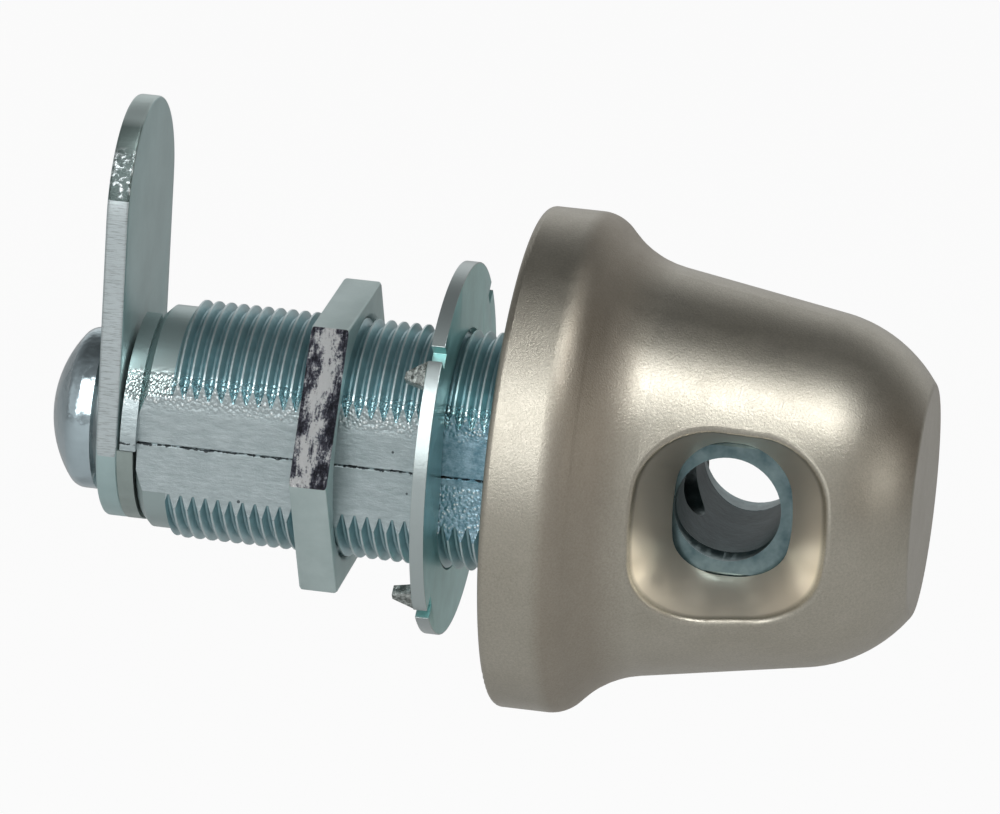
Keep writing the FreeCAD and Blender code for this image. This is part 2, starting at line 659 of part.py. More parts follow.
def add_flatted_hole(sketch, across, half):
    """A circle's outline with two flats, for a hole over the flatted barrel."""
    wide, high = size(across), size(half)
    radius = math.hypot(wide, high)
    low = math.atan2(high, wide)
    centre = FreeCAD.Vector(0, 0, 0)
    axis = FreeCAD.Vector(0, 0, 1)
    circle = Part.Circle(centre, axis, radius)
    upper = sketch.addGeometry(Part.ArcOfCircle(circle, low, math.pi - low), False)
    lower = sketch.addGeometry(Part.ArcOfCircle(circle, math.pi + low, 2 * math.pi - low), False)
    left = sketch.addGeometry(Part.LineSegment(sketch.getPoint(upper, 2), sketch.getPoint(lower, 1)), False)
    right = sketch.addGeometry(Part.LineSegment(sketch.getPoint(lower, 2), sketch.getPoint(upper, 1)), False)
    for line, start, end in ((left, (upper, 2), (lower, 1)), (right, (lower, 2), (upper, 1))):
        sketch.addConstraint(Sketcher.Constraint("Coincident", line, 1, start[0], start[1]))
        sketch.addConstraint(Sketcher.Constraint("Coincident", line, 2, end[0], end[1]))
        sketch.addConstraint(Sketcher.Constraint("Vertical", line))
    for arc in (upper, lower):
        sketch.addConstraint(Sketcher.Constraint("Coincident", arc, 3, ORIGIN, 1))
    place_point(sketch, upper, 1, across, half)
    rule = sketch.addConstraint(Sketcher.Constraint("DistanceX", upper, 2, ORIGIN, 1, wide))
    bind(sketch, "Constraints[%d]" % rule, across)


def turned_sketch(body, name, turn, level):
    """A sketch that faces outwards at an angle round the axis, counted from -Y towards +Z."""
    sketch = new_sketch(body, name, "XZ_Plane")
    sketch.AttachmentOffset = FreeCAD.Placement(
        FreeCAD.Vector(), FreeCAD.Rotation(FreeCAD.Vector(1, 0, 0), -size(turn)))
    bind(sketch, "AttachmentOffset.Base.y", "%s * sin(%s * 1 deg)" % (level, turn))
    bind(sketch, "AttachmentOffset.Base.z", "%s * cos(%s * 1 deg)" % (level, turn))
    doc.recompute()
    return sketch


def add_arc(sketch, radius, start, span):
    """An arc round the axis, from an angle and over a number of degrees."""
    circle = Part.Circle(FreeCAD.Vector(0, 0, 0), FreeCAD.Vector(0, 0, 1), size(radius))
    first, over = math.radians(size(start)), math.radians(size(span))
    arc = sketch.addGeometry(Part.ArcOfCircle(circle, first, first + over), False)
    sketch.addConstraint(Sketcher.Constraint("Coincident", arc, 3, ORIGIN, 1))
    place_point(sketch, arc, 1, "%s * cos(%s * 1 deg)" % (radius, start), "%s * sin(%s * 1 deg)" % (radius, start))
    rule = sketch.addConstraint(Sketcher.Constraint("Angle", arc, over))
    bind(sketch, "Constraints[%d]" % rule, "(%s) * 1 deg" % span)
    return arc


def join(sketch, start, end):
    """A straight line between two ends of the sketch's arcs."""
    line = sketch.addGeometry(Part.LineSegment(sketch.getPoint(*start), sketch.getPoint(*end)), False)
    sketch.addConstraint(Sketcher.Constraint("Coincident", line, 1, start[0], start[1]))
    sketch.addConstraint(Sketcher.Constraint("Coincident", line, 2, end[0], end[1]))
    return line


# The lug on the barrel's rear end fills what the stop washer's wide half, the travel and the margins leave
def add_stop_lug(body):
    span = "(360 - stop_span_angle - travel_angle - 2 * stop_margin_angle)"
    start = "(stop_start_angle - stop_margin_angle - %s)" % span
    sketch = new_sketch(body, "lug_outline", "YZ_Plane", "-barrel_length")
    outer = add_arc(sketch, "lug_outer", start, span)
    inner = add_arc(sketch, "lug_inner", start, span)
    join(sketch, (outer, 1), (inner, 1))
    join(sketch, (outer, 2), (inner, 2))
    pad(body, "stop_lug", sketch, "lug_length", backwards=True)


# Stop washer: its wide half runs against the barrel's lug at each end of the turn
def make_stop_washer():
    body = new_body("stop_washer")
    sketch = new_sketch(body, "stop_outline", "YZ_Plane", "-stop_thickness")
    wide = add_arc(sketch, "stop_outer", "stop_start_angle", "stop_span_angle")
    narrow = add_arc(sketch, "stop_inner", "(stop_start_angle + stop_span_angle)", "360 - stop_span_angle")
    join(sketch, (wide, 2), (narrow, 1))
    join(sketch, (narrow, 2), (wide, 1))
    pad(body, "stop_blank", sketch, "stop_thickness")
    hole = new_sketch(body, "stop_hole_outline", "YZ_Plane")
    add_polygon(hole, drive_square("drive_clearance"))
    pocket(body, "stop_hole", hole, "stop_thickness")
    bind(body, "Placement.Base.x", "-barrel_length - cam_gap + stop_thickness")


# Cam: a flat bar with round ends, clamped on the spindle's square end
def make_cam():
    body = new_body("cam")
    sketch = new_sketch(body, "cam_outline", "YZ_Plane", "-cam_thickness")
    radius = size("cam_width / 2")
    axis = FreeCAD.Vector(0, 0, 1)
    low, high = "(cam_width / 2 - cam_heel)", "(cam_tip - cam_width / 2)"
    heel = sketch.addGeometry(Part.ArcOfCircle(
        Part.Circle(FreeCAD.Vector(0, size(low), 0), axis, radius), math.pi, 2 * math.pi), False)
    tip = sketch.addGeometry(Part.ArcOfCircle(
        Part.Circle(FreeCAD.Vector(0, size(high), 0), axis, radius), 0, math.pi), False)
    sides = []
    for start, end in (((heel, 2), (tip, 1)), ((tip, 2), (heel, 1))):
        side = sketch.addGeometry(Part.LineSegment(sketch.getPoint(*start), sketch.getPoint(*end)), False)
        sketch.addConstraint(Sketcher.Constraint("Tangent", start[0], start[1], side, 1))
        sketch.addConstraint(Sketcher.Constraint("Tangent", side, 2, end[0], end[1]))
        sides.append(side)
    place_point(sketch, heel, 3, "0", low)
    place_point(sketch, tip, 3, "0", high)
    rule = sketch.addConstraint(Sketcher.Constraint("Radius", heel, radius))
    bind(sketch, "Constraints[%d]" % rule, "cam_width / 2")
    blank = pad(body, "cam_blank", sketch, "cam_thickness")
    edges = []
    for number, edge in enumerate(blank.Shape.Edges, start=1):
        if abs(edge.BoundBox.XLength) < 1e-6:
            edges.append("Edge%d" % number)
    round_edges(body, "cam_edges", blank, edges, "cam_edge", chamfer=True)
    hole = new_sketch(body, "cam_hole_outline", "YZ_Plane")
    add_polygon(hole, drive_square("drive_clearance"))
    pocket(body, "cam_hole", hole, "cam_thickness")
    bind(body, "Placement.Base.x", "-barrel_length - cam_gap")


def make_lock_washer():
    body = new_body("lock_washer")
    ring = new_sketch(body, "lock_outline", "YZ_Plane", "-lock_thickness")
    add_circle(ring, "lock_radius")
    add_circle(ring, "screw_radius + lock_clearance")
    pad(body, "lock_blank", ring, "lock_thickness")
    split = new_sketch(body, "split_outline", "YZ_Plane")
    add_polygon(split, [
        ("lock_gap / 2", "-screw_radius / 2"), ("-lock_gap / 2", "-screw_radius / 2"),
        ("-lock_gap / 2", "-lock_radius * 1.1"), ("lock_gap / 2", "-lock_radius * 1.1")])
    pocket(body, "split", split, "lock_thickness")
    bind(body, "Placement.Base.x", "-barrel_length - cam_gap - cam_thickness")


def make_cam_screw():
    body = new_body("cam_screw")
    sketch = new_sketch(body, "screw_outline", "XZ_Plane")
    top, bend, rim = size("dome_height"), size("dome_round"), size("dome_rim")
    shelf = -top + bend - math.sqrt(bend * bend - rim * rim)
    centre = FreeCAD.Vector(-top + bend, 0, 0)
    corners = [("screw_length", "0"), ("screw_length", "screw_radius - screw_tip"),
               ("screw_length - screw_tip", "screw_radius"), ("0", "screw_radius"), ("0", "dome_rim")]
    points = [FreeCAD.Vector(size(along), size(up), 0) for along, up in corners]
    points.append(FreeCAD.Vector(shelf, rim, 0))
    lines = [sketch.addGeometry(Part.LineSegment(start, end), False) for start, end in zip(points, points[1:])]
    start = math.atan2(rim, shelf - centre.x)
    circle = Part.Circle(centre, FreeCAD.Vector(0, 0, 1), bend)
    dome = sketch.addGeometry(Part.ArcOfCircle(circle, start, math.pi), False)
    inside = sketch.addGeometry(Part.LineSegment(sketch.getPoint(dome, 2), points[0]), False)
    for line, following in zip(lines, lines[1:]):
        sketch.addConstraint(Sketcher.Constraint("Coincident", line, 2, following, 1))
    sketch.addConstraint(Sketcher.Constraint("Coincident", lines[-1], 2, dome, 1))
    sketch.addConstraint(Sketcher.Constraint("Coincident", dome, 2, inside, 1))
    sketch.addConstraint(Sketcher.Constraint("Coincident", inside, 2, lines[0], 1))
    for line, (along, up) in zip(lines, corners):
        place_point(sketch, line, 1, along, up)
    sketch.addConstraint(Sketcher.Constraint("Horizontal", lines[-1]))
    place_point(sketch, dome, 3, "dome_round - dome_height", "0")
    rule = sketch.addConstraint(Sketcher.Constraint("Radius", dome, bend))
    bind(sketch, "Constraints[%d]" % rule, "dome_round")
    sketch.addConstraint(Sketcher.Constraint("PointOnObject", dome, 2, -1))
    turned = body.newObject("PartDesign::Revolution", "screw_turned")
    turned.Profile = sketch
    turned.ReferenceAxis = (sketch, ["H_Axis"])
    turned.Angle = FULL_TURN
    doc.recompute()
    round_edges(body, "screw_shoulder", turned, ring_edges(turned.Shape, shelf, rim), "dome_shoulder")
    socket = new_sketch(body, "screw_socket_outline", "YZ_Plane", "-dome_height")
    reach = "(socket_width / 2 / cos(30 deg))"
    add_polygon(socket, [("%s * cos(%d deg)" % (reach, 60 * corner + 15),
                          "%s * sin(%d deg)" % (reach, 60 * corner + 15)) for corner in range(6)])
    pocket(body, "screw_socket", socket, "socket_depth", backwards=True)
    bind(body, "Placement.Base.x", "-barrel_length - cam_gap - cam_thickness - lock_thickness")


make_bell_knob()
add_stop_lug(make_threaded_barrel())
make_spindle()
make_cross_pin()
make_seal("knob_seal", "barrel_radius", "knob_groove_pos")
make_seal("spindle_seal", "spindle_radius", "spindle_groove_pos")
make_spring_washer()
make_hex_nut()
make_spur_washer()
make_stop_washer()
make_cam()
make_lock_washer()
make_cam_screw()
doc.recompute()
for item in doc.Objects:
    if "Invalid" in item.State or "Error" in item.State:
        raise RuntimeError("%s is in state %s" % (item.Name, item.State))
for item in made:
    if item.Shape.isNull() or not item.Shape.isValid():
        raise RuntimeError("%s has no valid shape" % item.Label)
    item.Shape.exportStep("parts/%s.step" % item.Label)
    box = item.Shape.optimalBoundingBox(True, False)
    print("%-16s %9.2f mm3  x %.2f..%.2f  y %.2f..%.2f  z %.2f..%.2f" % (
        item.Label, item.Shape.Volume, box.XMin, box.XMax, box.YMin, box.YMax, box.ZMin, box.ZMax))
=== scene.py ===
import math
from contextlib import contextmanager

import bpy
from mathutils import Matrix, Vector


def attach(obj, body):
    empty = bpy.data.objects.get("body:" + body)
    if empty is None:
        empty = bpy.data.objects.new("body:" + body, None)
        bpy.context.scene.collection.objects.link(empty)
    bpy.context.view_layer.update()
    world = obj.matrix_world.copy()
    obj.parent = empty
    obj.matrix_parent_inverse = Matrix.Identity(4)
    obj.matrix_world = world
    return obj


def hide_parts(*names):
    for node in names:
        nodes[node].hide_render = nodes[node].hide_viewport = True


# The latch lies along X with its knob at the positive end, and its cam stands up along Z.
# Sizes and places are in millimetres, and MM brings them into Blender's metres.
MM = 0.001

# Barrel: its thread ends at the head, and the plain collar behind the thread reaches to the rear end
THREAD_RADIUS = 9.5
THREAD_PITCH = 1.0
THREAD_DEPTH = 0.58
THREAD_CREST = 0.14
THREAD_ROOT = 0.16
THREAD_FRONT = 0.3
THREAD_STEPS = 128
TURNS_BEHIND = 2
TURNS_TO_SPARE = 3
FLAT = 8.0
WEDGE_HALF = 0.1
WEDGE_FRONT = 0.1
COLLAR_START = -26.8
COLLAR_RADIUS = 8.9
COLLAR_EDGE = 0.6
COLLAR_SIDES = 192
REAR_END = -29.25
BORE = 5.08
BORE_SIDES = 128

# How far cutting blocks reach from the middle of the latch, and how far a drill or wedge runs past its ends
PAST_SIDE = 30
PAST_END = 40
PAST_FLATS = 60
PAST_BORE = 2
PAST_SEAM = 1

# Tolerances: what counts as the same place, what is merged, and how near to a cut a vertex counts as on it
SAME_PLACE = 0.01
MERGE_PACKED = 0.001
MERGE_THREAD = 0.002
CUT_TOLERANCE = 0.0001

# Angles in degrees: where smooth shading stops, what counts as flat, and which edges a bevel softens
TURNED_SMOOTH = 18
CAST_SMOOTH = 25
FLAT_ANGLE = 0.3
CRISP_ANGLE = 40

# Bell: its skin is pairs of place and radius, and the hollow behind its rim pairs of place and share of
# painted shade, which also roughens it
BELL_END = 32.0
BELL_RADIUS = 20.0
BELL_SKIN = [(0.3, 19.9), (4.8, 19.9), (6.3, 19.3), (7.75, 17.9), (9.2, 16.95), (11.7, 16.15),
             (24.4, 14.0), (26.9, 13.35), (28.8, 12.35), (30.3, 11.25), (31.8, 9.7)]
BELL_HOLLOW = [(4.3, 0.0), (5.4, 0.42), (8.6, 0.42), (11.5, 0.0)]
NOSE_FACE = 31.7

# How deep under the bell's skin the painted light and smoother finish of its windows and bore start, and
# where they are full
WINDOW_START = 0.45
WINDOW_FULL = 0.9

# Shackle hole, and how far a finish laps over the edge of its face
SHACKLE_PLACE = 17.8
SHACKLE_RADIUS = 4.2
FINISH_LAP = 0.02

# Barrel's flats: the zone round the parting seam, its wandering line, the blue stretch, the band of burrs
# with painted glints
SEAM_ZONE_HALF = 0.6
SEAM_ZONE_DEPTH = 0.3
SEAM_LINE_HALF = 0.15
SEAM_WANDER = 0.17
BLUE_START = -4.9
BURR_GLINT_LOW = 2.7
BURR_GLINT_HIGH = 6.0
BURR_GLINT_BESIDE = 6.4

# Hex nut: its turn in degrees, how far out its cut sides are, and the light streak of painted reflection on
# them
NUT_TURN = 27.3
NUT_CUT_SIDE = 10.9
NUT_STREAK = -15.15
NUT_STREAK_SWAY = 1.2
NUT_STREAK_SLANT = -0.07
NUT_STREAK_CORE = 0.15
NUT_STREAK_HALF = 1.1

# Toothed washer: where its bent teeth begin, and how far out its edge is
WASHER_TEETH = -5.98
WASHER_EDGE = 14.76

# Cam: how far out its sides are, its round tip, and the heights where the tip's torn edge changes
CAM_SIDE = 8.02
CAM_TIP_CENTER = 17.75
CAM_TIP_RADIUS = 8.0
CAM_TIP_START = 17.8
CAM_TORN_START = 19.4
CAM_FLECKS_FADE = 22.6
CAM_FLECKS_END = 23.3
CAM_TORN_FADE = 24.5
CAM_TORN_END = 25.0

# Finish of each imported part
NODE_FINISHES = {
    "bell_knob": "bell_nickel",
    "spindle": "spindle_steel",
    "cross_pin": "spring_steel",
    "knob_seal": "seal_rubber",
    "spindle_seal": "seal_rubber",
    "spring_washer": "spring_steel",
    "hex_nut": "nut_zinc",
    "spur_washer": "washer_steel",
    "stop_washer": "stop_steel",
    "cam": "cam_steel",
    "lock_washer": "spring_steel",
    "cam_screw": "screw_steel",
}

# Parts whose crisp edges are softened: part, name of its copy, width of the bevel, body, finish
SOFTENED_PARTS = [
    ("hex_nut", "nut_with_soft_edges", 0.12, "nut", "nut_zinc"),
    ("spur_washer", "washer_with_soft_edges", 0.06, "washer", "washer_steel"),
    ("cam", "cam_with_soft_edges", 0.12, "knob", "cam_steel"),
]

# The photograph's camera, fitted to the latch's edges: angles in degrees, focal length in picture points
CAMERA_AZIMUTH = 9.388
CAMERA_ELEVATION = 16.770
CAMERA_ROLL = 3.670
CAMERA_DISTANCE = 559.297
CAMERA_FOCAL = 7075.578
CAMERA_RIGHT = -2.168
CAMERA_UP = 3.723
CAMERA_ALONG = 0.3
PICTURE_WIDTH = 1000
SENSOR_WIDTH = 36

# The nearest and farthest place that the camera sees, in metres
CAMERA_NEAR = 0.01
CAMERA_FAR = 20

# Floor, in metres, and how much of the white background it shows instead of its own shade
FLOOR_SIZE = 6
FLOOR_HEIGHT = -0.12
FLOOR_WHITE = 0.94

# Lamps: name, angles to the right and up from the front, width and length in metres, power in watts
LAMPS = [
    ("key", 17, 67, 0.48, 0.24, 3.3),
    ("side_key", -14, 43, 0.24, 0.3, 1.35),
    ("side_fill", -14, 22, 0.3, 0.5, 1.5),
    ("nose_fill", 72, 48, 0.26, 0.4, 0.55),
]

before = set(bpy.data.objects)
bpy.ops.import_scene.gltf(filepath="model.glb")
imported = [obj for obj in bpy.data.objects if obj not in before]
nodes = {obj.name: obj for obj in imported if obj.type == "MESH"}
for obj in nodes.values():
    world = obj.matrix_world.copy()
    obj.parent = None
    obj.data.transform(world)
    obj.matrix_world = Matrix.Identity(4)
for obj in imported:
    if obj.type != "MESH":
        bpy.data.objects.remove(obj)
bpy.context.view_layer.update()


def deselect():
    bpy.ops.object.select_all(action="DESELECT")


def activate(piece):
    deselect()
    piece.select_set(True)
    bpy.context.view_layer.objects.active = piece


@contextmanager
def edit_mode(piece):
    """Edit mode on one piece, with all of it selected."""
    activate(piece)
    bpy.ops.object.mode_set(mode="EDIT")
    bpy.ops.mesh.select_all(action="SELECT")
    yield
    bpy.ops.object.mode_set(mode="OBJECT")


@contextmanager
def edit_chosen(piece, kind, indices):
    """Edit mode on one piece, with only some of its vertices or edges selected."""
    activate(piece)
    bpy.ops.object.mode_set(mode="EDIT")
    bpy.ops.mesh.select_mode(type=kind)
    bpy.ops.mesh.select_all(action="DESELECT")
    bpy.ops.object.mode_set(mode="OBJECT")
    elements = piece.data.edges if kind == "EDGE" else piece.data.vertices
    for index in indices:
        elements[index].select = True
    bpy.ops.object.mode_set(mode="EDIT")
    yield
    bpy.ops.object.mode_set(mode="OBJECT")


def apply_place(piece):
    """Puts a piece's place into its mesh, so the object itself sits at the origin."""
    activate(piece)
    bpy.ops.object.transform_apply(location=True, rotation=True, scale=True)


def apply_all_modifiers(piece):
    activate(piece)
    for modifier in list(piece.modifiers):
        bpy.ops.object.modifier_apply(modifier=modifier.name)


def boolean(piece, tool, operation):
    """Cuts a piece with a tool, or keeps what lies in the tool, and removes the tool."""
    modifier = piece.modifiers.new("shape", "BOOLEAN")
    modifier.operation = operation
    modifier.solver = "EXACT"
    modifier.object = tool
    apply_all_modifiers(piece)
    bpy.data.objects.remove(tool, do_unlink=True)


def add_drum(name, radius, start, end, sides):
    """A round bar along X, from one place to another."""
    deselect()
    bpy.ops.mesh.primitive_cylinder_add(
        vertices=sides, radius=radius * MM, depth=(end - start) * MM,
        location=((start + end) / 2 * MM, 0, 0), rotation=(0, math.pi / 2, 0))
    drum = bpy.context.object
    drum.name = name
    apply_place(drum)
    return drum


def add_block(name, low, high):
    """A block between two corners."""
    deselect()
    middle = [(a + b) / 2 * MM for a, b in zip(low, high)]
    bpy.ops.mesh.primitive_cube_add(size=1, location=middle)
    block = bpy.context.object
    block.name = name
    block.scale = [(b - a) * MM for a, b in zip(low, high)]
    apply_place(block)
    return block


def copy_of_node(node, name):
    """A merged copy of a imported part's mesh."""
    source = nodes[node]
    piece = source.copy()
    piece.data = source.data.copy()
    piece.name = name
    piece.parent = None
    piece.matrix_world = Matrix.Identity(4)
    bpy.context.scene.collection.objects.link(piece)
    with edit_mode(piece):
        bpy.ops.mesh.remove_doubles(threshold=MERGE_PACKED * MM)
    return piece


def shade_smooth(piece, degrees):
    activate(piece)
    bpy.ops.object.shade_smooth_by_angle(angle=math.radians(degrees))


def finish_piece(piece, body, slot):
    piece.data.materials.clear()
    piece.data.materials.append(finishes[slot])
    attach(piece, body)


def thread_tooth(start):
    """The outline of one tooth and the root after it, an open line from a place along the axis."""
    outline = [
        (0.0, THREAD_RADIUS - THREAD_DEPTH),
        ((THREAD_PITCH - THREAD_CREST - THREAD_ROOT) / 2, THREAD_RADIUS),
        ((THREAD_PITCH + THREAD_CREST - THREAD_ROOT) / 2, THREAD_RADIUS),
        (THREAD_PITCH - THREAD_ROOT, THREAD_RADIUS - THREAD_DEPTH),
    ]
    deselect()
    bpy.ops.mesh.primitive_circle_add(vertices=len(outline), radius=MM, fill_type="NOTHING")
    tooth = bpy.context.object
    tooth.name = "barrel_thread"
    for vertex, (along, radius) in zip(tooth.data.vertices, outline):
        vertex.co = Vector(((start + along) * MM, 0, radius * MM))
    last = len(outline) - 1
    closing = [edge.index for edge in tooth.data.edges if set(edge.vertices) == {0, last}]
    with edit_chosen(tooth, "EDGE", closing):
        bpy.ops.mesh.delete(type="EDGE")
    with edit_chosen(tooth, "VERT", [last]):
        bpy.ops.mesh.extrude_vertices_move(TRANSFORM_OT_translate={"value": (THREAD_ROOT * MM, 0, 0)})
    return tooth


def make_thread_rod():
    """A solid threaded rod: one tooth is screwed along the axis, and both ends are cut and closed.

    It starts a few turns behind the thread and has a few to spare, so both cuts meet whole teeth.
    """
    start = COLLAR_START - TURNS_BEHIND * THREAD_PITCH
    rod = thread_tooth(start)
    screw = rod.modifiers.new("turns", "SCREW")
    screw.axis = "X"
    screw.angle = math.tau
    screw.screw_offset = THREAD_PITCH * MM
    screw.iterations = int(-start / THREAD_PITCH) + TURNS_TO_SPARE
    screw.steps = screw.render_steps = THREAD_STEPS
    screw.use_merge_vertices = False
    apply_all_modifiers(rod)
    with edit_mode(rod):
        bpy.ops.mesh.remove_doubles(threshold=MERGE_THREAD * MM)
        for along, way in ((COLLAR_START, -1), (THREAD_FRONT, 1)):
            bpy.ops.mesh.select_all(action="SELECT")
            bpy.ops.mesh.bisect(
                plane_co=(along * MM, 0, 0), plane_no=(way, 0, 0),
                use_fill=True, clear_outer=True, threshold=CUT_TOLERANCE * MM)
        bpy.ops.mesh.select_all(action="SELECT")
        bpy.ops.mesh.normals_make_consistent(inside=False)
    return rod


def cut_flats(piece):
    block = add_block("flats", (-PAST_FLATS, -FLAT, -PAST_SIDE), (PAST_FLATS, FLAT, PAST_SIDE))
    boolean(piece, block, "INTERSECT")


def cut_bore(piece, start, end):
    """Drills the bore between two places."""
    drill = add_drum("bore", BORE, start - PAST_BORE, end + PAST_BORE, BORE_SIDES)
    boolean(piece, drill, "DIFFERENCE")


def cut_seams(piece, start, end):
    """Cuts the shallow parting seam along the middle of both flats."""
    for side in (-1, 1):
        wedge = add_block("seam", (start, -WEDGE_HALF, -WEDGE_HALF), (end, WEDGE_HALF, WEDGE_HALF))
        wedge.rotation_euler = (math.pi / 4, 0, 0)
        wedge.location = (0, side * FLAT * MM, 0)
        apply_place(wedge)
        boolean(piece, wedge, "DIFFERENCE")


def make_barrel_thread():
    """The threaded stretch of the barrel, with its real pitch, its flats, bore and seams."""
    thread = make_thread_rod()
    cut_flats(thread)
    cut_bore(thread, COLLAR_START, 0)
    cut_seams(thread, COLLAR_START - PAST_SEAM, WEDGE_FRONT)
    return thread


def make_barrel_collar():
    """The plain rear end of the barrel, with its edge broken."""
    collar = add_drum("barrel_collar", COLLAR_RADIUS, REAR_END, COLLAR_START, COLLAR_SIDES)
    vertices = collar.data.vertices
    rear_edge = [
        edge.index for edge in collar.data.edges
        if max(vertices[end].co.x for end in edge.vertices) < (REAR_END + SAME_PLACE) * MM]
    with edit_chosen(collar, "EDGE", rear_edge):
        bpy.ops.mesh.bevel(offset=COLLAR_EDGE * MM, offset_type="OFFSET", segments=1)
    cut_flats(collar)
    cut_bore(collar, REAR_END, COLLAR_START)
    cut_seams(collar, REAR_END - PAST_SEAM, COLLAR_START + PAST_SEAM)
    return collar


def barrel_stretch(name, start, end):
    """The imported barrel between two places, such as its head or its lug."""
    piece = copy_of_node("threaded_barrel", name)
    block = add_block("stretch", (start, -PAST_SIDE, -PAST_SIDE), (end, PAST_SIDE, PAST_SIDE))
    boolean(piece, block, "INTERSECT")
    return piece


def make_barrel():
    """The barrel in four pieces: thread, collar, all from the head forward, and the stop washer's lug."""
    thread = make_barrel_thread()
    collar = make_barrel_collar()
    front = barrel_stretch("barrel_front", 0, PAST_END)
    lug = barrel_stretch("barrel_lug", -PAST_END, REAR_END)
    turned = [(piece, TURNED_SMOOTH) for piece in (thread, collar)]
    cast = [(piece, CAST_SMOOTH) for piece in (front, lug)]
    for piece, degrees in turned + cast:
        shade_smooth(piece, degrees)
        finish_piece(piece, "barrel", "barrel_zinc")
        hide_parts("threaded_barrel")


def soften_edges(node, name, width, body, slot):
    """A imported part's copy with its crisp edges broken by a small bevel."""
    piece = copy_of_node(node, name)
    with edit_mode(piece):
        bpy.ops.mesh.dissolve_limited(angle_limit=math.radians(FLAT_ANGLE))
        bpy.ops.mesh.normals_make_consistent(inside=False)
    bevel = piece.modifiers.new("edges", "BEVEL")
    bevel.width = width * MM
    bevel.segments = 2
    bevel.limit_method = "ANGLE"
    bevel.angle_limit = math.radians(CRISP_ANGLE)
    bevel.use_clamp_overlap = True
    apply_all_modifiers(piece)
    shade_smooth(piece, CAST_SMOOTH)
    finish_piece(piece, body, slot)
    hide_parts(node)


class Shading:
    """A node tree under construction. Each call adds nodes and gives back the output that they lead to."""

    def __init__(self, tree, coordinates):
        self.tree = tree
        self.place = self.add("TexCoord").outputs[coordinates]

    def add(self, kind, inputs=None, **settings):
        """Adds one node, with its settings and what its inputs get."""
        node = self.tree.nodes.new("ShaderNode" + kind)
        for name, value in settings.items():
            setattr(node, name, value)
        for name, value in (inputs or {}).items():
            self.feed(node.inputs[name], value)
        return node

    def feed(self, socket, value):
        """Links a socket to an output, or sets it to a plain number, direction or colour."""
        if isinstance(value, bpy.types.NodeSocket):
            self.tree.links.new(value, socket)
        elif socket.type == "RGBA":
            socket.default_value = (*value, 1)
        else:
            socket.default_value = value

    def axis(self, name):
        return self.add("SeparateXYZ", {"Vector": self.place}).outputs[name]

    def math(self, operation, *values):
        return self.add("Math", dict(enumerate(values)), operation=operation).outputs["Value"]

    def both(self, first, second):
        """Where two masks overlap, or a value where a mask lets it through."""
        return self.math("MULTIPLY", first, second)

    def either(self, first, second):
        return self.math("MAXIMUM", first, second)

    def absolute(self, value):
        return self.math("ABSOLUTE", value)

    def over(self, length, limit):
        """1 where a length is over a limit in millimetres."""
        return self.math("GREATER_THAN", length, limit * MM)

    def under(self, length, limit):
        """1 where a length is under a limit in millimetres."""
        return self.math("LESS_THAN", length, limit * MM)

    def range(self, source, low, high, out_low=0.0, out_high=1.0):
        """Turns the values between two limits into those between two others."""
        inputs = {"Value": source, "From Min": low, "From Max": high, "To Min": out_low, "To Max": out_high}
        return self.add("MapRange", inputs).outputs["Result"]

    def fade(self, length, start, end):
        """From 0 to 1 between two places in millimetres."""
        return self.range(length, start * MM, end * MM)

    def ramp(self, source, stops):
        """Colours or greys at the given places from 0 to 1."""
        node = self.add("ValToRGB", {"Fac": source})
        elements = node.color_ramp.elements
        while len(elements) < len(stops):
            elements.new(0.5)
        for element, (place, tone) in zip(elements, stops):
            element.position = place
            element.color = (*tone, 1) if isinstance(tone, tuple) else (tone, tone, tone, 1)
        return node.outputs["Color"]

    def tones(self, source, dark, light, start=0.3, end=0.7):
        """Two tones, with the change between two values of a noise."""
        return self.ramp(source, [(start, dark), (end, light)])

    def mix(self, factor, first, second, blend_type="MIX"):
        inputs = {"Factor": factor, "A": first, "B": second}
        return self.add("Mix", inputs, data_type="RGBA", blend_type=blend_type).outputs["Result"]


